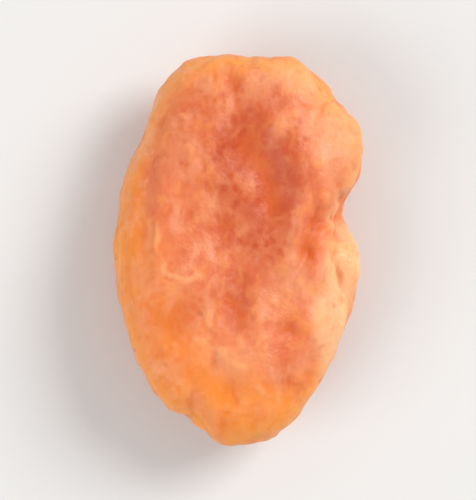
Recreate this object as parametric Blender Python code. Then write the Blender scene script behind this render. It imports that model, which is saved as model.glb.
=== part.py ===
# One whole dried apricot, pitted and pressed flat, lying on its broad side.
# It grew and dried in one piece, so it is one closed solid.
# Metres, +Z up. The long axis runs along Y with the stem end at -Y, the suture runs
# round the +X side, and the origin is on the resting surface under the middle of the fruit.

import itertools
import math

import bmesh
import bpy
import numpy as np

MM = 0.001

# Driving dimensions
HALF_WIDTH = 10.9 * MM
HALF_LENGTH = 17.0 * MM
TOP_HEIGHT = 6.5 * MM  # widest level up to the top, before the middle sinks
BOTTOM_HEIGHT = 6.0 * MM  # widest level down to the bottom, before the foot is flattened
FOOT_CUT = 0.45 * MM  # how much of the rounded bottom is pressed flat
FOOT_SNAP = 0.12 * MM
CELLS = 28  # grid cells along each side of the cube that is blown up into the fruit
RIM_POWER = 0.8  # under 1 gives a blunt rim and broad flat faces

# Outline seen from above, as degrees round from +X and mm out from the middle
OUTLINE = [
    (-174, 10.95), (-154, 11.35), (-132, 12.75), (-115.5, 14.8), (-108, 15.05), (-102.5, 15.8), (-97, 16.75),
    (-89, 17.0), (-80, 16.3), (-67, 14.8), (-52, 12.7), (-36, 11.5), (-22, 11.05), (-12, 10.9), (2, 10.4),
    (14.5, 9.95), (22.5, 9.8), (31, 12.3), (38, 14.0), (45, 15.1), (59, 16.0), (73, 17.5), (89, 17.05),
    (104, 17.2), (112, 16.3), (124, 14.1), (141, 12.25), (159, 11.25),
]

OUTLINE_GROWS = (0.25, 0.85)  # a plain oval inside the first share of the radius, OUTLINE past the second
RIM_FROM = (0.72, 0.90)  # the rim begins and is full at these shares of the radius

# Sunken face where the stone was pushed out: middle, half sizes and depth
HOLLOW_MIDDLE = (1.0 * MM, 0.8 * MM)
HOLLOW_HALF = (7.2 * MM, 12.5 * MM)
HOLLOW_DEPTH = 1.9 * MM
HOLLOW_POWER = 2.8

# Sides of the ball that is shaped into the fruit, by height on the ball: where each begins and is full
HOLLOW_SIDE = (0.0, 0.2)
UPPER_SIDE = (0.0, 0.15)
UNDER_SIDE = (0.0, 0.4)
FACE_TO = (0.62, 0.95)  # the broad face ends between these shares of the radius

END_CURL = 0.9 * MM  # how far both ends curl up in drying
TWIST = 0.5 * MM
RIM_WAVES = [(2, 1.0, 0.55 * MM), (3, 2.2, 0.40 * MM)]  # times round, start in radians, height

# Suture: the seam between the two lips, in degrees round the fruit
SUTURE_FROM = (-128, -104)  # fades in between these
SUTURE_TO = (40, 68)  # and out between these
SUTURE_UNDER = 0.45 * MM  # how far it runs under the widest level
SUTURE_RISE = (1.4 * MM, 26)  # how far it rises at the lower lip, and the degrees that the rise spreads over
SUTURE_WAVES = [(5, 0.0, 0.20 * MM), (11, 1.0, 0.14 * MM)]  # times round, start in radians, height
NOTCH_AT = 14  # where the lips part deepest
LIP_AT = -4  # where the lower lip stands out most
MOUTH_AT = -100  # the torn opening at the stem end

# Groove of the suture: its size, how much more at the notch and at the mouth, and the degrees that
# these two spread over
GROOVE_DEPTH = (0.30 * MM, 1.0 * MM, 1.2 * MM, 13, 9)
GROOVE_WIDTH = (0.60 * MM, 0.25 * MM, 0.35 * MM, 20, 12)
GROOVE_UNEVEN = 0.5

# The upper lip lies inside the lower one: how far, over how many degrees, and where this begins and
# is full, by height over the suture and by share of the radius
LIP_SET_BACK = 1.7 * MM
LIP_SPREAD = 24
LIP_HEIGHT = (-0.2 * MM, 1.1 * MM)
LIP_FROM = (0.5, 0.95)

# Relief of the dried skin
LUMPS = {"broad lumps": 0.30 * MM, "small lumps": 0.15 * MM}
FOLDS = (0.50 * MM, 0.28 * MM, 0.20 * MM)  # height, less on the broad face, more below
FOLD_BEND = 0.6
FOLD_CREASE = (0.1, 0.3)  # softness, and the level that counts as flat
FOLD_LEAST = 0.2  # share of the height that is left between patches of folds
FOLD_PATCHES = (-0.35, 0.45)  # patches begin and are full at these values of their noise
PUCKERS = (0.34 * MM, 0.14 * MM)  # height, more below
PUCKER_RINGS = 5.2  # radius, in noise cells, of the ring that the puckers follow
PUCKER_LENGTH = 5.0 * MM  # how long a pucker is, up the rim
PUCKER_BEND = 0.45
PUCKER_CREASE = (0.06, 0.25)
PUCKER_PATCHES = (-0.4, 0.3)
GATHERS = (0.05 * MM, 0.20 * MM, 24)  # height, more at the mouth, degrees that this spreads over
GATHERS_PER_DEGREE = 0.36  # radians of the gathers' wave
GATHER_DRIFT = 4.5
GATHER_REACH = 1.7 * MM  # how far from the suture they go
CALM_UNDER = (0.42, 0.85)  # no relief below inside the first share of the radius, all of it past the second

# Random hills: distance between them (folds are long from end to end), and where the noise is read
HILLS = {
    "broad lumps": (6.5 * MM, 3.1),
    "small lumps": (3.1 * MM, 14.7),
    "folds": (np.array([2.9, 7.0, 3.6]) * MM, 1.7),
    "fold bend": (6.0 * MM, 5.0),
    "fold patches": (8.0 * MM, 21.0),
    "puckers": (1.0, 4.4),
    "pucker bend": (4.5 * MM, 71.0),
    "pucker patches": (9.0 * MM, 33.0),
    "gather drift": (4.0 * MM, 9.0),
    "groove": (3.5 * MM, 88.0),
    "valley width": (2.5 * MM, 60.0),
}
HILL_GAIN = 1.6  # brings the highest hills to about 1
VECTOR_APART = 11.3  # how far apart the noise is read for the parts of a vector

# Soft valleys in the upper face: start, bend and end, half width, depth, all in mm
VALLEYS = [
    ((9.4, 3.8), (8.5, 6.0), (8.3, 8.8), 0.80, 0.36),
    ((7.2, 4.8), (6.5, 1.8), (5.0, -2.4), 0.75, 0.40),
    ((-0.2, 10.4), (2.4, 7.8), (2.9, 3.0), 1.7, 0.40),
    ((-0.9, -3.2), (-0.3, -4.6), (0.7, -7.0), 0.9, 0.22),
    ((-2.8, -8.6), (-0.9, -10.8), (0.4, -13.6), 1.15, 0.28),
    ((4.3, -5.8), (5.0, -8.5), (4.1, -12.4), 1.1, 0.34),
    ((-1.5, 16.4), (0.3, 14.0), (0.0, 11.2), 0.8, 0.24),
    ((-4.4, 6.6), (-4.9, 4.6), (-4.0, 2.8), 0.9, 0.16),
    ((-7.6, 9.0), (-8.6, 3.0), (-7.9, -4.0), 0.7, 0.12),
    ((9.3, 3.7), (7.9, 0.4), (9.0, -4.2), 0.7, 0.16),
]

VALLEY_PIECES = 12  # straight pieces that stand for the curve
VALLEY_ENDS = (0.15, 5)  # strength at the ends, and its growth per share of the length
VALLEY_UNEVEN = 0.35
BANK = (0.35, 1.9)  # low bank beside a valley: share of its depth, and half widths away

# Dimples in the upper face: place, half width, depth, all in mm
DIMPLES = [
    (6.0, 0.2, 0.85, 0.46),
    (-0.35, -4.5, 0.9, 0.20),
    (4.4, -6.2, 0.8, 0.25),
    (-2.0, 0.2, 0.6, 0.14),
    (2.7, 3.8, 0.8, 0.18),
    (-5.4, -5.8, 2.3, 0.32),
]

SKIN_COLOUR = (0.86, 0.25, 0.075, 1.0)
SKIN_ROUGHNESS = 0.42


def make_noise(seed):
    """Smooth random hills: a random slope at each corner of a unit grid, blended between corners."""
    rng = np.random.default_rng(seed)
    shuffled = rng.permutation(256)
    slopes = rng.normal(size=(256, 3))
    slopes /= np.linalg.norm(slopes, axis=1, keepdims=True)

    def noise(points, offset):
        points = points + offset
        cell = np.floor(points).astype(int)
        part = points - cell
        ease = part**3 * (part * (part * 6 - 15) + 10)
        total = np.zeros(len(points))
        for corner in itertools.product((0, 1), repeat=3):
            i, j, k = ((cell + corner) & 255).T
            slope = slopes[shuffled[(shuffled[(shuffled[i] + j) & 255] + k) & 255]]
            dot = ((part - corner) * slope).sum(axis=1)
            total += dot * np.prod(np.where(corner, ease, 1 - ease), axis=1)
        return total * HILL_GAIN

    return noise


noise = make_noise(seed=7)


def hills(name, points):
    apart, offset = HILLS[name]
    return noise(points / apart, offset)


def hills_vector(name, points):
    apart, offset = HILLS[name]
    return np.stack([noise(points / apart, offset + VECTOR_APART * axis) for axis in range(3)], axis=1)


def creased(value, softness, flat):
    """Rounded hills between narrow valleys: the absolute value, softened where it is zero."""
    return np.sqrt(value**2 + softness**2) - softness - flat


def step(value, low, high):
    t = np.clip((value - low) / (high - low), 0, 1)
    return t * t * (3 - 2 * t)


def bump(value, centre, spread):
    return np.exp(-(((value - centre) / spread) ** 2))


def bump_round(degrees, centre, spread):
    return bump((degrees - centre + 180) % 360 - 180, 0, spread)


def outline_radius(degrees):
    """A smooth closed curve through OUTLINE: cubic pieces, each point's slope that of its neighbours."""
    at, out = np.array(OUTLINE).T
    at = np.concatenate([at[-2:] - 360, at, at[:3] + 360])
    out = np.concatenate([out[-2:], out, out[:3]]) * MM
    slope = np.gradient(out)
    slope[1:-1] = (out[2:] - out[:-2]) / (at[2:] - at[:-2])
    degrees = np.where(degrees < at[1], degrees + 360, degrees)
    n = np.clip(np.searchsorted(at, degrees, side="right") - 1, 1, len(at) - 3)
    width = at[n + 1] - at[n]
    t = (degrees - at[n]) / width
    from_left = (2 * t**3 - 3 * t**2 + 1) * out[n] + (t**3 - 2 * t**2 + t) * width * slope[n]
    from_right = (3 * t**2 - 2 * t**3) * out[n + 1] + (t**3 - t**2) * width * slope[n + 1]
    return from_left + from_right


def valley_distance(x, y, start, bend, end):
    """Distance in mm to a curve, taken as straight pieces, and a weight that fades towards its ends."""
    t = np.linspace(0, 1, VALLEY_PIECES + 1)[:, None]
    line = (1 - t) ** 2 * np.array(start) + 2 * t * (1 - t) * np.array(bend) + t**2 * np.array(end)
    piece = np.diff(line, axis=0)
    from_start = np.stack([x, y], axis=1)[:, None] / MM - line[:-1]
    along = np.clip((from_start * piece).sum(axis=2) / (piece**2).sum(axis=1), 0, 1)
    gaps = np.linalg.norm(from_start - along[..., None] * piece, axis=2)
    nearest = gaps.argmin(axis=1)[:, None]
    share = (nearest + np.take_along_axis(along, nearest, axis=1))[:, 0] / len(piece)
    at_end, growth = VALLEY_ENDS
    return gaps.min(axis=1), np.clip(np.minimum(share, 1 - share) * growth + at_end, 0, 1)


def around(ball):
    """Angle round from +X, the same in degrees, and the share of the way out to the rim."""
    angle = np.arctan2(ball[:, 1], ball[:, 0])
    return angle, np.degrees(angle), np.hypot(ball[:, 0], ball[:, 1]) ** RIM_POWER


def sutured(degrees, spread):
    """1 on the rim along the suture and 0 elsewhere."""
    return step(degrees, *SUTURE_FROM) * (1 - step(degrees, *SUTURE_TO)) * step(spread, *RIM_FROM)


def height_over_suture(level, angle, degrees):
    """The suture runs just under the widest level, rises at the lower lip and wanders a little."""
    rise, spread_over = SUTURE_RISE
    suture = rise * bump_round(degrees, LIP_AT, spread_over) - SUTURE_UNDER
    for times, start, wave_height in SUTURE_WAVES:
        suture += wave_height * np.sin(times * angle + start)
    return level - suture


def along_suture(degrees, plain, at_notch, at_mouth, notch_spread, mouth_spread):
    """A size along the suture, which grows at the notch and at the mouth."""
    grown = at_notch * bump_round(degrees, NOTCH_AT, notch_spread)
    return plain + grown + at_mouth * bump_round(degrees, MOUTH_AT, mouth_spread)


def body_form(ball):
    """The pressed fruit without its wrinkles, and the height over the suture."""
    angle, degrees, spread = around(ball)
    oval = HALF_WIDTH * HALF_LENGTH / np.hypot(HALF_LENGTH * np.cos(angle), HALF_WIDTH * np.sin(angle))
    radius = oval + (outline_radius(degrees) - oval) * step(spread, *OUTLINE_GROWS)
    x = radius * spread * np.cos(angle)
    y = radius * spread * np.sin(angle)
    z = ball[:, 2] * np.where(ball[:, 2] > 0, TOP_HEIGHT, BOTTOM_HEIGHT)

    # sunken face
    from_middle = np.hypot((x - HOLLOW_MIDDLE[0]) / HOLLOW_HALF[0], (y - HOLLOW_MIDDLE[1]) / HOLLOW_HALF[1])
    z -= HOLLOW_DEPTH * np.exp(-(from_middle**HOLLOW_POWER)) * step(ball[:, 2], *HOLLOW_SIDE)
    level = z.copy()

    # curled ends and a wavy rim
    z += END_CURL * (y / HALF_LENGTH) ** 2 + TWIST * (x / HALF_WIDTH) * (y / HALF_LENGTH)
    for times, start, wave_height in RIM_WAVES:
        z += wave_height * np.sin(times * angle + start) * spread**3

    # suture and lips
    over = height_over_suture(level, angle, degrees)
    depth = along_suture(degrees, *GROOVE_DEPTH)
    depth *= 1 + GROOVE_UNEVEN * hills("groove", np.stack([x, y, z], axis=1))
    inward = depth * bump(over, 0, along_suture(degrees, *GROOVE_WIDTH)) * sutured(degrees, spread)
    set_back = bump_round(degrees, LIP_AT, LIP_SPREAD) * step(over, *LIP_HEIGHT) * step(spread, *LIP_FROM)
    inward += LIP_SET_BACK * set_back
    return np.stack([x - inward * np.cos(angle), y - inward * np.sin(angle), z], axis=1), over


def wrinkles(ball, points, over):
    """How far the dried skin stands out of or sinks into the body form."""
    angle, degrees, spread = around(ball)
    upper = step(ball[:, 2], *UPPER_SIDE)
    under = step(-ball[:, 2], *UNDER_SIDE)
    rim = step(spread, *RIM_FROM)
    broad_face = (1 - step(spread, *FACE_TO)) * upper

    # soft lumps of flesh, the second kind between the first
    raised = np.zeros(len(points))
    for kind, height in LUMPS.items():
        raised += height * hills(kind, points)

    # long shallow folds, weaker on the broad face
    bent = points + FOLD_BEND * HILLS["folds"][0] * hills_vector("fold bend", points)
    patches = FOLD_LEAST + (1 - FOLD_LEAST) * step(hills("fold patches", points), *FOLD_PATCHES)
    height, less_on_face, more_below = FOLDS
    height = height - less_on_face * broad_face + more_below * under
    raised += height * creased(hills("folds", bent), *FOLD_CREASE) * patches

    # puckers that cross the rim, and gathers at the suture
    ring = [PUCKER_RINGS * np.cos(angle), PUCKER_RINGS * np.sin(angle), points[:, 2] / PUCKER_LENGTH]
    ring = np.stack(ring, axis=1) + PUCKER_BEND * hills_vector("pucker bend", points)
    patches = step(hills("pucker patches", points), *PUCKER_PATCHES)
    height, more_below = PUCKERS
    height = (height + more_below * under) * rim * patches
    raised += height * creased(hills("puckers", ring), *PUCKER_CREASE)
    height, at_mouth, spread_over = GATHERS
    height = height + at_mouth * bump_round(degrees, MOUTH_AT, spread_over)
    gathers = np.sin(degrees * GATHERS_PER_DEGREE + GATHER_DRIFT * hills("gather drift", points))
    raised += height * gathers * bump(over, 0, GATHER_REACH) * sutured(degrees, spread)

    # valleys and dimples of the upper face, each valley with a low bank beside it
    wander = 1 + VALLEY_UNEVEN * hills("valley width", points)
    bank_height, bank_place = BANK
    for start, bend, end, width, depth in VALLEYS:
        gap, fade = valley_distance(points[:, 0], points[:, 1], start, bend, end)
        shape = bump(gap, 0, width * wander) - bank_height * bump(gap, bank_place * width, width)
        raised -= upper * fade * depth * MM * shape
    for x, y, width, depth in DIMPLES:
        gap = np.hypot(points[:, 0] / MM - x, points[:, 1] / MM - y)
        raised -= upper * depth * MM * bump(gap, 0, width)

    # the underside stays calm round the foot
    return raised * np.where(ball[:, 2] < 0, step(np.hypot(ball[:, 0], ball[:, 1]), *CALM_UNDER), 1.0)


def move_verts(mesh, points):
    for vert, point in zip(mesh.verts, points):
        vert.co = point
    mesh.normal_update()


def flatten_foot(mesh):
    """Cut the rounded bottom off at z = 0 and close it with one flat face."""
    for vert in mesh.verts:
        if abs(vert.co.z) < FOOT_SNAP:
            vert.co.z = 0.0
    bmesh.ops.bisect_plane(
        mesh,
        geom=mesh.verts[:] + mesh.edges[:] + mesh.faces[:],
        dist=1e-6,
        plane_co=(0, 0, 0),
        plane_no=(0, 0, -1),
        clear_outer=True,
    )
    rim = [edge for edge in mesh.edges if edge.is_boundary]
    bmesh.ops.edgeloop_fill(mesh, edges=rim)
    bmesh.ops.recalc_face_normals(mesh, faces=mesh.faces[:])


def make_fruit_mesh():
    mesh = bmesh.new()
    bmesh.ops.create_cube(mesh, size=2.0)
    bmesh.ops.subdivide_edges(mesh, edges=mesh.edges[:], cuts=CELLS - 1, use_grid_fill=True)
    ball = np.tan(np.array([vert.co[:] for vert in mesh.verts]) * math.pi / 4)
    ball /= np.linalg.norm(ball, axis=1, keepdims=True)

    points, over = body_form(ball)
    move_verts(mesh, points)
    outward = np.array([vert.normal[:] for vert in mesh.verts])
    points += outward * wrinkles(ball, points, over)[:, None]
    lowest, highest = points.min(axis=0), points.max(axis=0)
    points -= [(lowest[0] + highest[0]) / 2, (lowest[1] + highest[1]) / 2, FOOT_CUT - BOTTOM_HEIGHT]
    move_verts(mesh, points)
    flatten_foot(mesh)

    data = bpy.data.meshes.new("dried_apricot")
    mesh.to_mesh(data)
    mesh.free()
    data.shade_smooth()
    return data


def make_skin_material():
    material = bpy.data.materials.new("dried apricot skin")
    material.use_nodes = True
    shader = material.node_tree.nodes["Principled BSDF"]
    shader.inputs["Base Color"].default_value = SKIN_COLOUR
    shader.inputs["Roughness"].default_value = SKIN_ROUGHNESS
    shader.inputs["Metallic"].default_value = 0.0
    material.diffuse_color = SKIN_COLOUR
    return material


def main():
    for old in list(bpy.data.objects):
        bpy.data.objects.remove(old)
    fruit = bpy.data.objects.new("dried_apricot", make_fruit_mesh())
    fruit.data.materials.append(make_skin_material())
    bpy.context.scene.collection.objects.link(fruit)


main()
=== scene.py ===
# A whole dried apricot, pitted and pressed flat: its finished surface, its skin and the studio.
import itertools
import math

import bpy
import numpy as np
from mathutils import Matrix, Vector


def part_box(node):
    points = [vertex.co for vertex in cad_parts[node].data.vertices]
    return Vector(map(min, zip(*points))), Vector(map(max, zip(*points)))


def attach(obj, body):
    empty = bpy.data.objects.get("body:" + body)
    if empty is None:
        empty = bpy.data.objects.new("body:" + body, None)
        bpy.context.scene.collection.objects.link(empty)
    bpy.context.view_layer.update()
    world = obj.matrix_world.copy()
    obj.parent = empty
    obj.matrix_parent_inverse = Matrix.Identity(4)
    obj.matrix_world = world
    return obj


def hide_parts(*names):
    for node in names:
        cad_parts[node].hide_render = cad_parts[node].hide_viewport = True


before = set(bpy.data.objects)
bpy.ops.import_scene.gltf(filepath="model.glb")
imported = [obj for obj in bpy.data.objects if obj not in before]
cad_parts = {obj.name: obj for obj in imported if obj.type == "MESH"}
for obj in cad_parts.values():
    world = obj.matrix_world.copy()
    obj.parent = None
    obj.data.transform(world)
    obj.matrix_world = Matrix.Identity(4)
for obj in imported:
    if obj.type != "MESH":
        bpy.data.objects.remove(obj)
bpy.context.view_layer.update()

mm = 0.001
node = "dried_apricot"


def linear(hexColour):
    # sRGB hex to linear light: a straight toe below 0.04045, then a power of 2.4
    values = [int(hexColour[i:i + 2], 16) / 255 for i in (1, 3, 5)]
    return [v / 12.92 if v <= 0.04045 else ((v + 0.055) / 1.055) ** 2.4 for v in values] + [1.0]


def addNode(tree, kind, settings, links=()):
    # settings name an input by number or name, or else a property of the node
    new = tree.nodes.new(kind)
    for name, value in settings.items():
        if isinstance(name, int) or name in new.inputs:
            new.inputs[name].default_value = value
        else:
            setattr(new, name, value)
    for name, socket in dict(links).items():
        tree.links.new(socket, new.inputs[name])
    return new


# Random hills

hillSeed = 7
slopeCount = 256
hillGain = 1.6  # brings the noise up to about 1
vectorApart = 11.3  # between the places where the three parts of a vector are read

# distance apart, the same all ways or along x, y and z, and where the noise is read
hillKinds = {
    "broadLumps": (6.5 * mm, 3.1),
    "smallLumps": (3.1 * mm, 14.7),
    "folds": (np.array([2.9, 7.0, 3.6]) * mm, 1.7),
    "foldBend": (6.0 * mm, 5.0),
    "foldPatches": (8.0 * mm, 21.0),
    "longWrinkles": (np.array([1.2, 4.6, 1.8]) * mm, 6.1),
    "longBend": (4.0 * mm, 52.0),
    "longPatches": (6.0 * mm, 66.0),
    "crinkles": (np.array([1.0, 2.3, 1.2]) * mm, 2.9),
    "crinkleBend": (2.2 * mm, 31.0),
    "crinklePatches": (5.0 * mm, 47.0),
    "pebbles": (np.array([0.48, 0.8, 0.5]) * mm, 7.9),
    "puckers": (1.0, 4.4),  # on a ring that is drawn in their own distances
    "puckerBend": (4.5 * mm, 71.0),
    "puckerPatches": (9.0 * mm, 33.0),
    "gatherDrift": (4.0 * mm, 9.0),
    "groove": (3.5 * mm, 88.0),
    "valleyWidth": (2.5 * mm, 60.0),
    "ridgeWander": (1.6 * mm, 77.0),
    "ridgePatches": (1.7 * mm, 83.0),
    "tintWander": (3.0 * mm, 95.0),
}

rng = np.random.default_rng(hillSeed)
shuffled = rng.permutation(slopeCount)
slopes = rng.normal(size=(slopeCount, 3))
slopes /= np.linalg.norm(slopes, axis=1, keepdims=True)


def noise(points, offset):
    # a random slope at each corner of a unit grid, blended from corner to corner by 6t^5 - 15t^4 + 10t^3
    points = points + offset
    cell = np.floor(points).astype(int)
    part = points - cell
    ease = part**3 * (part * (part * 6 - 15) + 10)
    total = np.zeros(len(points))
    for corner in itertools.product((0, 1), repeat=3):
        i, j, k = ((cell + corner) % slopeCount).T
        slope = slopes[shuffled[(shuffled[(shuffled[i] + j) % slopeCount] + k) % slopeCount]]
        dot = ((part - corner) * slope).sum(axis=1)
        total += dot * np.prod(np.where(corner, ease, 1 - ease), axis=1)
    return total * hillGain


def hills(kind, points):
    # noise at the points divided by their kind's distance apart
    apart, readAt = hillKinds[kind]
    return noise(points / apart, readAt)


def hillsVector(kind, points):
    # three such noises, read at places set apart, which push a point about
    apart, readAt = hillKinds[kind]
    return np.stack([noise(points / apart, readAt + vectorApart * axis) for axis in range(3)], axis=1)


def creased(value, softness, flat):
    # rounded hills between narrow valleys: the absolute value, softened where it is zero, less the
    # height that counts as flat
    return np.sqrt(value**2 + softness**2) - softness - flat


def step(value, low, high):
    # 0 below low, 1 above high, and 3t^2 - 2t^3 between
    t = np.clip((value - low) / (high - low), 0, 1)
    return t * t * (3 - 2 * t)


def bump(value, centre, spread):
    # a bell: e to the minus square of the distance in spreads
    return np.exp(-(((value - centre) / spread) ** 2))


def bumpRound(degrees, centre, spread):
    # the same bell, by the shorter way round
    return bump((degrees - centre + 180) % 360 - 180, 0, spread)


# The fruit

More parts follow.
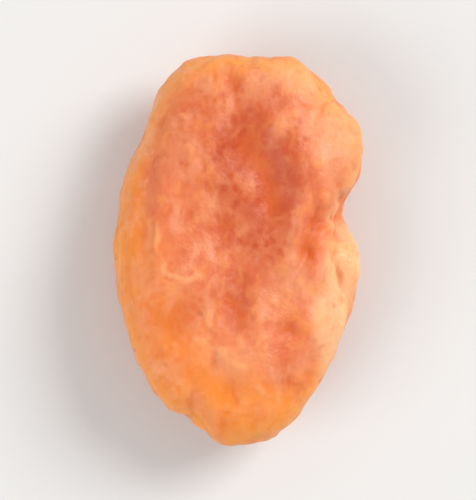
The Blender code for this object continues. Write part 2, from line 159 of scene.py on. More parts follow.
fruit = {
    "cells": 128,  # grid cells along each side of the blown-up cube
    "halfWidth": 10.9 * mm,
    "halfLength": 17.0 * mm,
    "topHeight": 6.5 * mm,
    "bottomHeight": 6.0 * mm,
    "footCut": 0.45 * mm,
    "rimPower": 0.8,  # under 1: a blunt rim and broad flat faces
    "outlineGrows": (0.25, 0.85),  # plain oval inside, full outline outside
    # where these begin and are full, or the other way round, as shares of the way out
    "rimFrom": (0.72, 0.90),
    "faceTo": (0.62, 0.95),
    "calmTo": (0.42, 0.85),  # the calm skin round the foot, by the flat part of the direction
    # where these begin and are full, as heights on the ball, downwards for the underside
    "hollowSide": (0.0, 0.2),
    "upperSide": (0.0, 0.15),
    "underSide": (0.0, 0.4),
    "hollowMiddle": (1.0 * mm, 0.8 * mm),
    "hollowHalf": (7.2 * mm, 12.5 * mm),
    "hollowDepth": 1.9 * mm,
    "hollowPower": 2.8,  # over 2: a flat bottom and steeper sides
    "endCurl": 0.9 * mm,
    "twist": 0.5 * mm,
    "rimWaves": [(2, 1.0, 0.55 * mm), (3, 2.2, 0.40 * mm)],  # times round, start in radians, height
    # the suture, in degrees round from +X
    "sutureFrom": (-128, -104),
    "sutureTo": (40, 68),
    "notchAt": 14,  # the dent in the outline
    "lipAt": -4,  # where the lips are parted most
    "mouthAt": -100,  # where the stone was pushed out
    "sutureUnder": 0.45 * mm,  # below the widest place
    "sutureRise": (1.4 * mm, 26),  # at the lower lip, and how far round it reaches
    "sutureWaves": [(5, 0.0, 0.20 * mm), (11, 1.0, 0.14 * mm)],  # times round, start in radians, height
    # along the suture, more at the notch, more at the mouth, and how far round those two reach
    "grooveDepth": (0.30 * mm, 1.0 * mm, 1.2 * mm, 13, 9),
    "grooveWidth": (0.60 * mm, 0.25 * mm, 0.35 * mm, 20, 12),
    "grooveUneven": 0.5,
    "lipSetBack": (1.7 * mm, 24),  # how far the upper lip lies inside the lower one, and how far round
    "lipHeight": (-0.2 * mm, 1.1 * mm),  # above the suture, where it begins and is full
    "lipFrom": (0.5, 0.95),  # and where as shares of the way out
    "lumps": {"broadLumps": 0.30 * mm, "smallLumps": 0.15 * mm},
    # creased skin, coarse to fine
    # height: plain, more on the broad face, more below
    # bend: the hills that bend it, and by what share of its distance apart
    # crease: softness of its valleys, height that counts as flat
    # patches: the hills that choose them, the least between them, and the heights where they begin and
    # are full
    "creases": {
        "folds": {
            "height": (0.50 * mm, -0.28 * mm, 0.20 * mm),
            "bend": ("foldBend", 0.6),
            "crease": (0.10, 0.30),
            "patches": ("foldPatches", 0.2, -0.35, 0.45),
        },
        "longWrinkles": {
            "height": (0.17 * mm, -0.051 * mm, 0),
            "bend": ("longBend", 0.5),
            "crease": (0.06, 0.30),
            "patches": ("longPatches", 0.0, -0.3, 0.35),
        },
        "crinkles": {
            "height": (0.12 * mm, -0.06 * mm, 0),
            "bend": ("crinkleBend", 0.5),
            "crease": (0.06, 0.30),
            "patches": ("crinklePatches", 0.3, -0.3, 0.4),
        },
        "pebbles": {"height": (0.036 * mm, 0, 0), "bend": ("crinkleBend", 0.4), "crease": (0.05, 0.30)},
    },
    "puckers": (0.34 * mm, 0.14 * mm),  # height, more below
    "puckerRing": (5.2, 5.0 * mm),  # radius in distances apart, length of a pucker up and down
    "puckerBend": 0.45,
    "puckerCrease": (0.06, 0.25),
    "puckerPatches": (-0.4, 0.3),
    "gathers": (0.05 * mm, 0.20 * mm, 24),  # height, more at the mouth, how far round that reaches
    "gathersPerDegree": 0.36,  # radians of their sine
    "gatherDrift": 4.5,
    "gatherReach": 1.7 * mm,  # above and below the suture
    # seen from above: degrees round from +X, mm out from the middle
    "outline": [
        (-174, 10.95), (-154, 11.35), (-132, 12.75), (-115.5, 14.8), (-108, 15.05), (-102.5, 15.8),
        (-97, 16.75), (-89, 17.0), (-80, 16.3), (-67, 14.8), (-52, 12.7), (-36, 11.5), (-22, 11.05),
        (-12, 10.9), (2, 10.4), (14.5, 9.95), (22.5, 9.8), (31, 12.3), (38, 14.0), (45, 15.1),
        (59, 16.0), (73, 17.5), (89, 17.05), (104, 17.2), (112, 16.3), (124, 14.1), (141, 12.25),
        (159, 11.25),
    ],
    "valleyPieces": 12,
    "valleyEnds": (0.15, 5),  # share of the depth at the ends, growth from there along the valley
    "valleyUneven": 0.35,
    "bank": (0.35, 1.9),  # beside a valley: share of its depth, place in its half widths
    "paintedShadeWidth": (1.2, 1.1),  # how much wider the painted shade is than a valley and than a dimple
    # soft valleys in the upper face: start, bend and end, half width, depth, all in mm
    "valleys": [
        ((9.4, 3.8), (8.5, 6.0), (8.3, 8.8), 0.80, 0.36),
        ((7.2, 4.8), (6.5, 1.8), (5.0, -2.4), 0.75, 0.40),
        ((-0.2, 10.4), (2.4, 7.8), (2.9, 3.0), 1.7, 0.40),
        ((-0.9, -3.2), (-0.3, -4.6), (0.7, -7.0), 0.9, 0.22),
        ((-2.8, -8.6), (-0.9, -10.8), (0.4, -13.6), 1.15, 0.28),
        ((4.3, -5.8), (5.0, -8.5), (4.1, -12.4), 1.1, 0.34),
        ((-1.5, 16.4), (0.3, 14.0), (0.0, 11.2), 0.8, 0.24),
        ((-4.4, 6.6), (-4.9, 4.6), (-4.0, 2.8), 0.9, 0.16),
        ((-7.6, 9.0), (-8.6, 3.0), (-7.9, -4.0), 0.7, 0.12),
        ((9.3, 3.7), (7.9, 0.4), (9.0, -4.2), 0.7, 0.16),
    ],
    # fine pale ridges on the upper face: start, bend and end, half width, height, all in mm
    "ridges": [
        ((-5.6, 5.4), (-8.1, 0.9), (-5.6, -2.4), 0.36, 0.13),
        ((-6.2, -1.6), (-4.8, -3.0), (-2.6, -1.2), 0.34, 0.10),
        ((-5.2, -6.6), (0.4, -8.2), (3.5, -13.6), 0.42, 0.13),
        ((7.5, 6.4), (7.9, 3.2), (7.0, -0.6), 0.38, 0.13),
        ((-2.6, -3.6), (-2.9, -5.8), (-0.9, -9.0), 0.40, 0.08),
        ((-6.4, 11.4), (-4.2, 12.8), (-3.0, 9.4), 0.38, 0.10),
        ((3.2, -3.0), (3.6, -5.6), (2.0, -9.4), 0.40, 0.08),
    ],
    "ridgeWander": 0.55 * mm,
    "ridgePatches": (-0.5, 0.35),
    # dimples in the upper face: place, half width, depth, all in mm
    "dimples": [
        (6.0, 0.2, 0.85, 0.46),
        (-0.35, -4.5, 0.9, 0.20),
        (4.4, -6.2, 0.8, 0.25),
        (-2.0, 0.2, 0.6, 0.14),
        (2.7, 3.8, 0.8, 0.18),
        (-5.4, -5.8, 2.3, 0.32),
    ],
    # soft patches of colour on the upper face, some of them painted light: kind, middle and half sizes in
    # mm, strength
    "tints": [
        ("rosyTint", (1.4, 6.0), (4.0, 5.6), 1.15),
        ("rosyTint", (0.2, -4.8), (2.0, 2.6), 0.46),
        ("rosyTint", (2.0, -0.5), (2.6, 3.4), 0.26),
        ("rosyTint", (-8.4, -6.4), (2.0, 4.0), 0.20),
        ("rosyTint", (-5.0, -5.8), (2.1, 2.3), 0.22),
        ("rosyTint", (-3.5, 12.2), (3.4, 3.2), 0.27),
        ("rosyTint", (0.6, 13.0), (3.2, 2.6), 0.30),
        ("rosyTint", (-5.6, -1.0), (2.4, 6.0), 0.13),
        # amber patches: the deeper amber of the stem end, and painted glow along the thin left rim
        ("amberTintAndPaintedGlow", (-10.2, 4.0), (2.0, 9.0), 0.6),
        ("amberTintAndPaintedGlow", (-8.4, -4.6), (2.9, 7.0), 0.5),
        ("amberTintAndPaintedGlow", (0.8, -15.2), (6.5, 4.4), 1.0),
        ("amberTintAndPaintedGlow", (-4.6, -10.0), (4.0, 4.6), 0.45),
        ("amberTintAndPaintedGlow", (-5.0, -5.4), (2.4, 2.6), 0.12),
        # pale patches: painted highlight where the fruit catches the light, most along the right rim
        ("paleTintAndPaintedHighlight", (8.8, 9.0), (2.8, 5.6), 0.42),
        ("paleTintAndPaintedHighlight", (4.6, 14.6), (3.4, 2.2), 0.5),
        ("paleTintAndPaintedHighlight", (9.8, -0.6), (2.2, 4.8), 1.0),
        ("paleTintAndPaintedHighlight", (7.9, -7.2), (1.8, 4.6), 0.7),
        ("paleTintAndPaintedHighlight", (4.2, -2.4), (2.0, 2.8), 0.36),
        ("paleTintAndPaintedHighlight", (-0.4, -9.6), (3.6, 1.8), 0.34),
    ],
    "tintWander": 1.1,  # mm
    "tintPower": 3,
    "tintSide": (0.0, 0.40),  # heights on the ball between which the tints begin and are full
    "tintBelowLip": (0.45, 36),  # how much lower at the lower lip, and how far round in degrees
    # rounds of smoothing, depth that counts as 1
    "valleyLooks": {"fineValley": (12, 0.05 * mm), "wideValley": (90, 0.25 * mm)},
    "lightLips": (0.9, 18),  # how much of the groove's painted shade goes at the parted lips, how far round
    "thinFrom": (0.74, 1.0),  # shares of the way out between which the thin rim begins and is full
    "paintedGlowFrom": (0.85, 1.0),  # the same for the painted glow along the upper edge
    "paintedGlowSide": (-0.05, 0.35),  # and the heights on the ball
}


def blownUpCube(cells):
    # six square grids of two parameters, welded at the edges and pushed out to a ball: each
    # coordinate is the tangent of up to 45 degrees, then the point is scaled to length 1
    line = np.arange(-cells, cells + 1, 2)
    u, v = np.meshgrid(line, line, indexing="ij")
    sheets = []
    for axis in range(3):
        for side in (-1, 1):
            sheet = np.empty(u.shape + (3,), int)
            sheet[..., axis] = side * cells
            sheet[..., (axis + 1) % 3] = u if side > 0 else v
            sheet[..., (axis + 2) % 3] = v if side > 0 else u
            sheets.append(sheet)
    corners, index = np.unique(np.array(sheets).reshape(-1, 3), axis=0, return_inverse=True)
    index = index.reshape(6, cells + 1, cells + 1)
    quads = np.stack([index[:, :-1, :-1], index[:, 1:, :-1], index[:, 1:, 1:], index[:, :-1, 1:]], axis=-1)
    ball = np.tan(corners / cells * math.pi / 4)
    return ball / np.linalg.norm(ball, axis=1, keepdims=True), quads.reshape(-1, 4)


def gathered(quads, perFace, count):
    # for each vertex, the sum of a value over the faces that meet there
    corners = quads.ravel()
    columns = [np.bincount(corners, np.repeat(column, 4), count) for column in perFace.T]
    return np.stack(columns, axis=1)


def outward(points, quads):
    # cross product of each face's diagonals, summed at its corners and scaled to length 1
    a, b, c, d = (points[quads[:, n]] for n in range(4))
    total = gathered(quads, np.cross(c - a, d - b), len(points))
    return total / np.linalg.norm(total, axis=1, keepdims=True)


def smoothed(values, quads, rounds):
    # each vertex takes the mean of the middles of its faces, round after round
    share = gathered(quads, np.ones((len(quads), 1)), len(values))
    for _ in range(rounds):
        values = gathered(quads, values[quads].mean(axis=1), len(values)) / share
    return values


def outlineRadius(degrees):
    # cubic pieces through the outline's points, whose slope at a point is that of its neighbours
    at, out = np.array(fruit["outline"]).T
    at = np.concatenate([at[-2:] - 360, at, at[:3] + 360])
    out = np.concatenate([out[-2:], out, out[:3]]) * mm
    slope = np.gradient(out)
    slope[1:-1] = (out[2:] - out[:-2]) / (at[2:] - at[:-2])
    degrees = np.where(degrees < at[1], degrees + 360, degrees)
    n = np.clip(np.searchsorted(at, degrees, side="right") - 1, 1, len(at) - 3)
    width = at[n + 1] - at[n]
    t = (degrees - at[n]) / width
    fromLeft = (2 * t**3 - 3 * t**2 + 1) * out[n] + (t**3 - 2 * t**2 + t) * width * slope[n]
    fromRight = (3 * t**2 - 2 * t**3) * out[n + 1] + (t**3 - t**2) * width * slope[n + 1]
    return fromLeft + fromRight


def valleyDistance(points, start, bend, end):
    # distance in mm to a quadratic curve, taken as straight pieces, and a weight that fades at its ends
    t = np.linspace(0, 1, fruit["valleyPieces"] + 1)[:, None]
    line = (1 - t) ** 2 * np.array(start) + 2 * t * (1 - t) * np.array(bend) + t**2 * np.array(end)
    piece = np.diff(line, axis=0)
    fromStart = points[:, None, :2] / mm - line[:-1]
    along = np.clip((fromStart * piece).sum(axis=2) / (piece**2).sum(axis=1), 0, 1)
    gaps = np.linalg.norm(fromStart - along[..., None] * piece, axis=2)
    nearest = gaps.argmin(axis=1)[:, None]
    share = (nearest + np.take_along_axis(along, nearest, axis=1))[:, 0] / len(piece)
    atEnd, growth = fruit["valleyEnds"]
    return gaps.min(axis=1), np.clip(np.minimum(share, 1 - share) * growth + atEnd, 0, 1)


def aboveSeam(level, angle, degrees):
    # level is the height over the widest place; the suture runs just under it, rises at the lower lip,
    # which so shows from above, and wanders by a few sines
    rise, reach = fruit["sutureRise"]
    seam = rise * bumpRound(degrees, fruit["lipAt"], reach) - fruit["sutureUnder"]
    for times, start, height in fruit["sutureWaves"]:
        seam += height * np.sin(times * angle + start)
    return level - seam


def around(ball):
    # angle round from +X, the same in degrees, and the share of the way out: (flat part)^rimPower
    angle = np.arctan2(ball[:, 1], ball[:, 0])
    return angle, np.degrees(angle), np.hypot(ball[:, 0], ball[:, 1]) ** fruit["rimPower"]


def sutured(degrees, spread):
    # 1 on the rim along the suture, 0 elsewhere
    along = step(degrees, *fruit["sutureFrom"]) * (1 - step(degrees, *fruit["sutureTo"]))
    return along * step(spread, *fruit["rimFrom"])


def alongSuture(degrees, plain, atNotch, atMouth, notchReach, mouthReach):
    # a size along the suture, which grows at the notch and at the mouth
    grown = atNotch * bumpRound(degrees, fruit["notchAt"], notchReach)
    return plain + grown + atMouth * bumpRound(degrees, fruit["mouthAt"], mouthReach)


def bodyForm(ball):
    # direction on the ball gives the place: radius = outline x share of the way out, height = ball's
    # height x half thickness, less the hollow, plus the curl of the ends and the waves of the rim, which
    # grow with the third power of the way out; the groove and the upper lip then go inwards
    f = fruit
    angle, degrees, spread = around(ball)
    oval = f["halfWidth"] * f["halfLength"]
    oval = oval / np.hypot(f["halfLength"] * np.cos(angle), f["halfWidth"] * np.sin(angle))
    radius = oval + (outlineRadius(degrees) - oval) * step(spread, *f["outlineGrows"])
    x = radius * spread * np.cos(angle)
    y = radius * spread * np.sin(angle)
    z = ball[:, 2] * np.where(ball[:, 2] > 0, f["topHeight"], f["bottomHeight"])

    across = (x - f["hollowMiddle"][0]) / f["hollowHalf"][0]
    along = (y - f["hollowMiddle"][1]) / f["hollowHalf"][1]
    hollow = np.exp(-(np.hypot(across, along) ** f["hollowPower"])) * step(ball[:, 2], *f["hollowSide"])
    z -= f["hollowDepth"] * hollow
    level = z.copy()
    across, along = x / f["halfWidth"], y / f["halfLength"]
    z += f["endCurl"] * along**2 + f["twist"] * across * along
    for times, start, waveHeight in f["rimWaves"]:
        z += waveHeight * np.sin(times * angle + start) * spread**3

    over = aboveSeam(level, angle, degrees)
    depth = alongSuture(degrees, *f["grooveDepth"])
    depth *= 1 + f["grooveUneven"] * hills("groove", np.stack([x, y, z], axis=1))
    groove = bump(over, 0, alongSuture(degrees, *f["grooveWidth"])) * sutured(degrees, spread)
    setBack, reach = f["lipSetBack"]
    setBack = setBack * bumpRound(degrees, f["lipAt"], reach)
    inward = depth * groove + setBack * step(over, *f["lipHeight"]) * step(spread, *f["lipFrom"])
    points = np.stack([x - inward * np.cos(angle), y - inward * np.sin(angle), z], axis=1)
    return points, over, hollow, groove


def creasedSkin(points, broadFace, under):
    # the sum of the kinds of creases, each its height x creased hills x its patches
    total = np.zeros(len(points))
    for kind, crease in fruit["creases"].items():
        height, onFace, below = crease["height"]
        height = height + onFace * broadFace + below * under
        if "patches" in crease:
            chooser, least, low, high = crease["patches"]
            height *= least + (1 - least) * step(hills(chooser, points), low, high)
        bender, howFar = crease["bend"]
        bent = points + howFar * hillKinds[kind][0] * hillsVector(bender, points)
        total += height * creased(hills(kind, bent), *crease["crease"])
    return total


def puckersAndGathers(ball, points, over, under):
    # puckers cross the rim: height x creased hills on a ring x patches; gathers are small waves beside
    # the suture: height x a sine that drifts
    f = fruit
    angle, degrees, spread = around(ball)
    radius, length = f["puckerRing"]
    ring = np.stack([radius * np.cos(angle), radius * np.sin(angle), points[:, 2] / length], axis=1)
    ring += f["puckerBend"] * hillsVector("puckerBend", points)
    height, moreBelow = f["puckers"]
    height = (height + moreBelow * under) * step(spread, *f["rimFrom"])
    height *= step(hills("puckerPatches", points), *f["puckerPatches"])
    puckers = height * creased(hills("puckers", ring), *f["puckerCrease"])
    height, atMouth, reach = f["gathers"]
    height = height + atMouth * bumpRound(degrees, f["mouthAt"], reach)
    gathers = np.sin(degrees * f["gathersPerDegree"] + f["gatherDrift"] * hills("gatherDrift", points))
    return puckers + height * gathers * bump(over, 0, f["gatherReach"]) * sutured(degrees, spread)


def valleysAndRidges(points):
    # on the upper face: how far the skin stands out (raised), how strongly painted shade darkens its colour
    # in valleys and dimples (paintedValleyShade), and how strongly ridges (ridged) mark it; a valley has a
    # low bank beside it, and a ridge wanders, comes and goes, and fades at its ends twice over
    f = fruit
    raised, paintedValleyShade, ridged = (np.zeros(len(points)) for _ in range(3))
    uneven = 1 + f["valleyUneven"] * hills("valleyWidth", points)
    bankHeight, bankAt = f["bank"]
    valleyShadeWidth, dimpleShadeWidth = f["paintedShadeWidth"]
    for start, bend, end, width, depth in f["valleys"]:
        gap, fade = valleyDistance(points, start, bend, end)
        bank = bankHeight * bump(gap, bankAt * width, width)
        raised -= fade * depth * mm * (bump(gap, 0, width * uneven) - bank)
        paintedValleyShade += fade * depth * bump(gap, 0, valleyShadeWidth * width * uneven)
    for x, y, width, depth in f["dimples"]:
        gap = np.hypot(points[:, 0] / mm - x, points[:, 1] / mm - y)
        raised -= depth * mm * bump(gap, 0, width)
        paintedValleyShade += depth * bump(gap, 0, dimpleShadeWidth * width)
    wandering = points + f["ridgeWander"] * hillsVector("ridgeWander", points)
    patches = step(hills("ridgePatches", points), *f["ridgePatches"])
    for start, bend, end, width, height in f["ridges"]:
        gap, fade = valleyDistance(wandering, start, bend, end)
        ridge = fade**2 * bump(gap, 0, width * uneven) * patches
        raised += height * mm * ridge
        ridged += ridge
    return raised, paintedValleyShade, ridged


def wrinkles(ball, points, over):
    # how far the dried skin stands out of the body form: the sum of lumps, creases, puckers, gathers,
    # valleys and ridges, calm round the foot; and painted shade in valleys, and how ridges mark its colour
    f = fruit
    upper = step(ball[:, 2], *f["upperSide"])
    under = step(-ball[:, 2], *f["underSide"])
    broadFace = (1 - step(around(ball)[2], *f["faceTo"])) * upper
    raised = sum(height * hills(kind, points) for kind, height in f["lumps"].items())
    raised += creasedSkin(points, broadFace, under) + puckersAndGathers(ball, points, over, under)
    onFace, paintedValleyShade, ridged = valleysAndRidges(points)
    raised += upper * onFace
    calm = np.where(ball[:, 2] < 0, step(np.hypot(ball[:, 0], ball[:, 1]), *f["calmTo"]), 1.0)
    return raised * calm, upper * paintedValleyShade, upper * ridged


def tints(ball, points):
    # one share for each kind of tint: the sum of its patches, each e to the minus third power of the
    # distance in half sizes, with an edge that wanders; they end on the rim, but below the lower lip
    f = fruit
    x, y = (points[:, :2] / mm + f["tintWander"] * hillsVector("tintWander", points)[:, :2]).T
    lower, reach = f["tintBelowLip"]
    upper = step(ball[:, 2] + lower * bumpRound(around(ball)[1], f["lipAt"], reach), *f["tintSide"])
    shares = {}
    for kind, (patchX, patchY), (halfX, halfY), strength in f["tints"]:
        patch = np.exp(-(np.hypot((x - patchX) / halfX, (y - patchY) / halfY) ** f["tintPower"]))
        shares[kind] = shares.get(kind, 0) + strength * patch * upper
    return shares


def valleyLooks(points, quads):
    # how far each vertex lies in a valley, from the same surface smoothed over about 1 mm and 3 mm
    direction = outward(points, quads)
    looks = {}
    for name, (rounds, deep) in fruit["valleyLooks"].items():
        looks[name] = ((smoothed(points, quads, rounds) - points) * direction).sum(axis=1) / deep
    return looks


def makeFruit():
    # each point of the body form moves along its normal by its wrinkles; then the fruit is centred on the
    # solid's box, set on its foot and pressed flat below, and the mesh carries its masks for the skin
    ball, quads = blownUpCube(fruit["cells"])
    points, over, hollow, groove = bodyForm(ball)
    raised, paintedValleyShade, ridged = wrinkles(ball, points, over)
    points += outward(points, quads) * raised[:, None]
    low, high = (np.array(corner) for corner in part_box(node))
    middle = (points.min(axis=0) + points.max(axis=0)) / 2
    points[:, :2] += ((low + high) / 2 - middle)[:2]
    points[:, 2] += fruit["bottomHeight"] - fruit["footCut"]
    points[:, 2] = np.maximum(points[:, 2], low[2])  # pressed flat below

    mesh = bpy.data.meshes.new("apricotSkin")
    mesh.vertices.add(len(points))
    mesh.vertices.foreach_set("co", points.ravel())
    mesh.loops.add(quads.size)
    mesh.loops.foreach_set("vertex_index", quads.ravel())
    mesh.polygons.add(len(quads))
    mesh.polygons.foreach_set("loop_start", np.arange(0, quads.size, 4))
    mesh.update(calc_edges=True)
    mesh.shade_smooth()
    degrees, spread = around(ball)[1:]
    lighter, reach = fruit["lightLips"]
    masks = {
        "hollow": hollow,
        # painted shade in the suture groove, mostly taken away at the parted lips
        "groove": groove * (1 - lighter * bumpRound(degrees, fruit["lipAt"], reach)),
        "paintedValleyShade": paintedValleyShade,
        "ridged": ridged,
        "thin": step(spread, *fruit["thinFrom"]),
        # painted glow along the upper edge
        "edge": step(spread, *fruit["paintedGlowFrom"]) * step(ball[:, 2], *fruit["paintedGlowSide"]),
        **valleyLooks(points, quads),
        **tints(ball, points),
    }
    for name, values in masks.items():
        mesh.attributes.new(name, "FLOAT", "POINT").data.foreach_set("value", values.astype(np.float32))
    piece = bpy.data.objects.new("apricotSkin", mesh)
    bpy.context.scene.collection.objects.link(piece)
    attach(piece, "root")
    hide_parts(node)
    print("fruit made:", len(quads) * 2, "triangles")
    return piece


# Skin

skin = {
    "flesh": "#EC8250",  # the broad face
    "roughness": (0.33, 0.52),  # moist places, dry places
    "moistTo": (0.3, 0.7),  # values of the moist pattern between which the skin goes from moist to dry
    "ior": 1.40,
    "subsurface": (0.32, 1.2 * mm, (1.0, 0.36, 0.12)),  # weight, depth, and share of it for each colour
    "sheen": (0.12, 0.45, "#FFD9B0"),  # weight, roughness, colour
    "relief": [("pores", 0.6), ("cells", 0.7)],  # each with its share
    "reliefStrength": 0.7,
    "reliefDepth": 0.16 * mm,
    # shares that the mesh carries, by name
    "masks": [
        "hollow", "groove", "paintedValleyShade", "ridged", "thin", "edge", "fineValley", "wideValley",
        "rosyTint", "amberTintAndPaintedGlow", "paleTintAndPaintedHighlight",
    ],
    # cloudy patterns: size in mm, detail, stretch along x, y and z, distortion
    "clouds": {
        "broad": (5.0, 2, (1, 1, 1), 0.0),
        "patches": (3.5, 2, (1, 1, 1), 0.0),
        "mottle": (1.8, 3, (1, 1.5, 1), 0.3),
        "blush": (2.1, 3, (1, 1, 1), 0.0),
        "browning": (1.1, 2, (1, 1.3, 1), 0.2),
        "sparks": (1.2, 2, (1, 1.3, 1), 0.2),
        "moist": (2.5, 3, (1, 1, 1), 0.0),
        "pores": (0.28, 3, (1, 1, 1), 0.0),
    },
    "cloudRoughness": 0.55,
    "cloudStart": (3.71, 1.53, 2.28),  # how far off the origin the first one is moved, in its own size
    "cloudStride": (1, -1, 2),  # how much farther each next one is moved
    "cellSize": 0.85 * mm,
    "cellSmoothness": 0.6,
    "cellBend": (2.0 * mm, 1.5 * mm),  # size of the noise that bends the cells, how far it does
    "freckleSize": 2.4 * mm,
    # over the flesh, first to last: colour, its most, and the patterns whose soft steps are multiplied
    "layers": [
        ("#E2734A", 0.6, [("broad", 0.35, 0.65)]),  # rosy clouds
        ("#F58B36", 0.6, [("thin", 0.0, 1.0)]),  # amber, where light comes through the thin rim
        ("#CE5226", 0.40, [("blush", 0.50, 0.74)]),
        # darker over the hollow: the deeper red of the thin middle, and painted shade
        ("#DD6A40", 0.4, [("hollow", 0.0, 1.0)]),
        # amber patches, partly painted glow along the left rim
        ("#F88A22", 0.60, [("amberTintAndPaintedGlow", 0.0, 1.0)]),
        ("#C2441C", 0.70, [("rosyTint", 0.0, 1.0)]),
        ("#FFAC50", 0.55, [("edge", 0.0, 0.9)]),  # painted glow along the upper edge
        # painted highlight where the fruit catches the light
        ("#FFD09C", 0.80, [("paleTintAndPaintedHighlight", 0.0, 1.0)]),
        ("#F7AC84", 0.48, [("mottle", 0.46, 0.68)]),  # mottling, from pale to brown
        ("#FBA050", 0.36, [("sparks", 0.50, 0.70)]),
        ("#D0602A", 0.28, [("browning", 0.52, 0.70)]),
        # the amber patches again, partly painted glow
        ("#FF9818", 0.44, [("amberTintAndPaintedGlow", 0.0, 1.0)]),
        ("#C4461C", 0.66, [("rosyTint", 0.0, 1.0)]),
        ("#FFBC84", 0.36, [("ridged", 0.1, 1.0)]),
        ("#E0661E", 0.34, [("amberTintAndPaintedGlow", 0.0, 0.8), ("patches", 0.46, 0.66)]),  # deeper amber in places, over the amber patches and their painted glow
        ("#F8A974", 0.24, [("cells", 0.2, 0.62), ("patches", 0.38, 0.62)]),  # paler between small soft cells
        ("#D86028", 0.42, [("fineValley", 0.15, 1.6)]),  # painted shade in valleys
        # painted shade in wide valleys
        ("#D25828", 0.45, [("wideValley", 0.1, 1.5)]),
        ("#F8A060", 0.30, [("fineValley", -0.2, -1.4)]),  # painted highlight on the tops between valleys
        # painted shade in the suture groove
        ("#D8622C", 0.35, [("groove", 0.0, 1.0)]),
        # painted shade in the valleys and dimples of the upper face
        ("#E06A24", 0.60, [("paintedValleyShade", 0.05, 0.7)]),
        ("#AE4C1C", 0.40, [("freckles", 0.20, 0.04), ("freckleChoice", 0.66, 0.76)]),
    ],
}


def skinPatterns(tree):
    # every pattern that the layers, the relief and the gloss name
    place = addNode(tree, "ShaderNodeTexCoord", {}).outputs["Object"]
    patterns = {}
    for name in skin["masks"]:
        patterns[name] = addNode(tree, "ShaderNodeAttribute", {"attribute_name": name}).outputs["Fac"]
    for n, (name, (size, detail, stretch, distortion)) in enumerate(skin["clouds"].items()):
        scale = [1 / (size * mm * along) for along in stretch]
        location = [first + n * stride for first, stride in zip(skin["cloudStart"], skin["cloudStride"])]
        moves = {"Location": location, "Scale": scale}
        moved = addNode(tree, "ShaderNodeMapping", moves, {0: place}).outputs[0]
        cloud = {"Scale": 1.0, "Detail": detail, "Distortion": distortion}
        cloud["Roughness"] = skin["cloudRoughness"]
        patterns[name] = addNode(tree, "ShaderNodeTexNoise", cloud, {"Vector": moved}).outputs["Fac"]

    # small soft cells on coordinates bent by a noise, and freckles in some of the larger cells
    bendSize, howFar = skin["cellBend"]
    bend = addNode(tree, "ShaderNodeTexNoise", {"Scale": 1 / bendSize, "Detail": 1.0}, {"Vector": place})
    move = {"operation": "MULTIPLY_ADD", 1: [howFar] * 3}
    bent = addNode(tree, "ShaderNodeVectorMath", move, {0: bend.outputs["Color"], 2: place}).outputs[0]
    cells = {"feature": "SMOOTH_F1", "Scale": 1 / skin["cellSize"], "Smoothness": skin["cellSmoothness"]}
    patterns["cells"] = addNode(tree, "ShaderNodeTexVoronoi", cells, {"Vector": bent}).outputs["Distance"]
    freckles = {"feature": "F1", "Scale": 1 / skin["freckleSize"]}
    freckles = addNode(tree, "ShaderNodeTexVoronoi", freckles, {"Vector": bent})
    patterns["freckles"] = freckles.outputs["Distance"]
    chance = addNode(tree, "ShaderNodeSeparateColor", {}, {0: freckles.outputs["Color"]})
    patterns["freckleChoice"] = chance.outputs[0]
    return patterns


def skinColour(tree, patterns):
    # the flesh, then each layer over the last; inputs 6 and 7 and output 2 of a mix are its colours
    colour = None
    for paint, most, steps in skin["layers"]:
        amount = None
        for name, low, high in steps:
            ramp = {"interpolation_type": "SMOOTHSTEP", "From Min": low, "From Max": high}
            ramp["To Max"] = most if amount is None else 1.0
            ramp = addNode(tree, "ShaderNodeMapRange", ramp, {0: patterns[name]}).outputs[0]
            if amount is not None:
                both = {0: amount, 1: ramp}
                ramp = addNode(tree, "ShaderNodeMath", {"operation": "MULTIPLY"}, both).outputs[0]
            amount = ramp
        mix = {"data_type": "RGBA", 6: linear(skin["flesh"]), 7: linear(paint)}
        links = {0: amount} if colour is None else {0: amount, 6: colour}
        colour = addNode(tree, "ShaderNodeMix", mix, links).outputs[2]
    return colour


def skinRelief(tree, patterns):
    # relief too fine for the mesh: the sum of its patterns, each times its share
    height = None
    for name, share in skin["relief"]:
        add = {"operation": "MULTIPLY_ADD", 1: share, 2: 0.0}
        links = {0: patterns[name]} if height is None else {0: patterns[name], 2: height}
        height = addNode(tree, "ShaderNodeMath", add, links).outputs[0]
    relief = {"Strength": skin["reliefStrength"], "Distance": skin["reliefDepth"]}
    return addNode(tree, "ShaderNodeBump", relief, {"Height": height}).outputs[0]


def makeSkin():
    # sun-dried apricot skin: leathery and a little moist, with soft broad highlights; light
    # sinks into the flesh and comes out again orange, most where the fruit is thin
    material = bpy.data.materials.new("sunDriedApricotSkin")
    material.use_nodes = True
    tree = material.node_tree
    shader = tree.nodes["Principled BSDF"]
    patterns = skinPatterns(tree)
    tree.links.new(skinColour(tree, patterns), shader.inputs["Base Color"])

    # gloss: a little moist in places, dull on dry ones
    (moist, dry), (low, high) = skin["roughness"], skin["moistTo"]
    gloss = {"From Min": low, "From Max": high, "To Min": moist, "To Max": dry}
    gloss = addNode(tree, "ShaderNodeMapRange", gloss, {0: patterns["moist"]})
    tree.links.new(gloss.outputs[0], shader.inputs["Roughness"])
    weight, depth, shares = skin["subsurface"]
    sheen, sheenRoughness, sheenColour = skin["sheen"]
    finish = {
        "IOR": skin["ior"],
        "Subsurface Weight": weight,
        "Subsurface Scale": depth,
        "Subsurface Radius": shares,
        "Sheen Weight": sheen,
        "Sheen Roughness": sheenRoughness,
        "Sheen Tint": linear(sheenColour),
    }
    for name, value in finish.items():
        shader.inputs[name].default_value = value
    tree.links.new(skinRelief(tree, patterns), shader.inputs["Normal"])
    print("skin made:", len(skin["layers"]), "layers over the flesh")
    return material


apricot = makeFruit()
apricot.data.materials.append(makeSkin())


# Studio

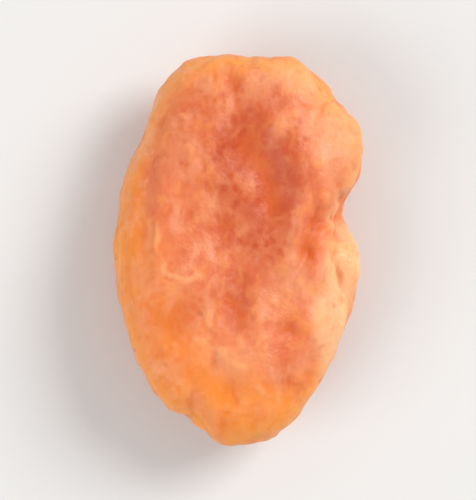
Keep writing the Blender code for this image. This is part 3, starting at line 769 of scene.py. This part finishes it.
studio = {
    "floor": "#E4E3E1",
    "floorRoughness": 0.95,  # no gloss, so no glare under the softboxes
    "floorSize": 4.0,
    "floorLevel": -0.03 * mm,  # a hair under the foot, so that the two flat faces never fight
    "world": 0.50,
    "keyPlace": (0.42, 0.26, 0.42),  # upper right of the picture, where the photograph's fruit is brightest
    "keySize": 0.30,
    "keyPower": 2.95,
    "fillPlace": (-0.42, -0.22, 0.36),
    "fillSize": 0.4,
    "fillPower": 1.42,
    "lens": 250,
    "nearest": 0.01,  # what is closer to the camera isn't drawn
    "fruitShare": 0.78,  # share of the picture's height that the fruit fills
}


def addSoftbox(name, place, size, power):
    # a square lamp that faces the middle of the floor
    light = bpy.data.lights.new(name, "AREA")
    light.size = size
    light.energy = power
    lamp = bpy.data.objects.new(name, light)
    lamp.location = place
    lamp.rotation_euler = (Vector((0, 0, 0)) - Vector(place)).to_track_quat("-Z", "Y").to_euler()
    bpy.context.scene.collection.objects.link(lamp)


def makeStudio():
    # a paper floor, even light all round and two softboxes
    half = studio["floorSize"] / 2
    mesh = bpy.data.meshes.new("floor")
    level = studio["floorLevel"]
    corners = [(-half, -half, level), (half, -half, level), (half, half, level), (-half, half, level)]
    mesh.from_pydata(corners, [], [(0, 1, 2, 3)])
    floor = bpy.data.objects.new("floor", mesh)
    bpy.context.scene.collection.objects.link(floor)
    paper = bpy.data.materials.new("matteWhitePaper")
    paper.use_nodes = True
    shader = paper.node_tree.nodes["Principled BSDF"]
    shader.inputs["Base Color"].default_value = linear(studio["floor"])
    shader.inputs["Roughness"].default_value = studio["floorRoughness"]
    mesh.materials.append(paper)

    world = bpy.data.worlds.new("studioAir")
    world.use_nodes = True
    background = world.node_tree.nodes["Background"]
    background.inputs["Color"].default_value = (1, 1, 1, 1)
    background.inputs["Strength"].default_value = studio["world"]
    bpy.context.scene.world = world
    addSoftbox("keySoftbox", studio["keyPlace"], studio["keySize"], studio["keyPower"])
    addSoftbox("fillSoftbox", studio["fillPlace"], studio["fillSize"], studio["fillPower"])
    bpy.context.scene.view_settings.view_transform = "Standard"  # keeps the orange clear
    print("studio made")


def makeCamera():
    # straight above the broad face, long axis up the picture
    low, high = (Vector(corner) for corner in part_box(node))
    camera = bpy.data.cameras.new("camera")
    camera.lens = studio["lens"]
    camera.clip_start = studio["nearest"]
    seen = (high.y - low.y) / studio["fruitShare"]
    away = high.z / 2 + seen * studio["lens"] / camera.sensor_width
    eye = bpy.data.objects.new("camera", camera)
    eye.location = ((low.x + high.x) / 2, (low.y + high.y) / 2, away)
    bpy.context.scene.collection.objects.link(eye)
    bpy.context.scene.camera = eye
    print("camera made")


makeStudio()
makeCamera()
